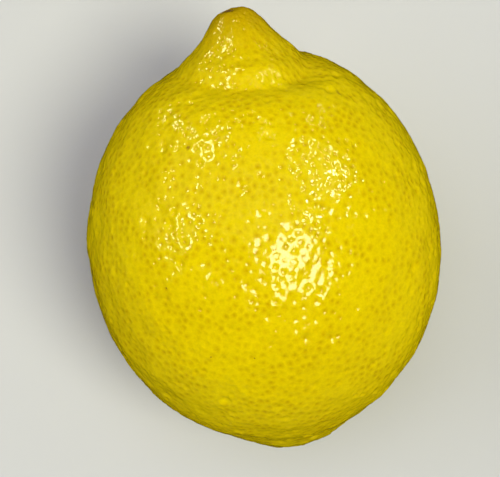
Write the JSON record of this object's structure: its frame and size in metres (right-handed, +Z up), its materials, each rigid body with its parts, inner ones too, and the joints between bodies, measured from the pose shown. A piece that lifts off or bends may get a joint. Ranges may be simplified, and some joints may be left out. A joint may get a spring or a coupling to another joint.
{
  "type": "lemon",
  "caption": "Whole ripe lemon with a pointed nipple at one end and a dry stem button at the other, resting on its side.",
  "frame": {"origin": "centre of the small flat spot that the fruit rests on", "axes": "+Y along the fruit towards its nipple, +X to its right seen from above with the nipple away from the viewer, +Z up"},
  "size_m": [0.063, 0.0792, 0.0619],
  "materials": {
    "peel": "waxy yellow citrus peel, softly glossy, pitted all over with small oil glands"
  },
  "bodies": {
    "root": {"lemon": "peel"}
  },
  "joints": []
}
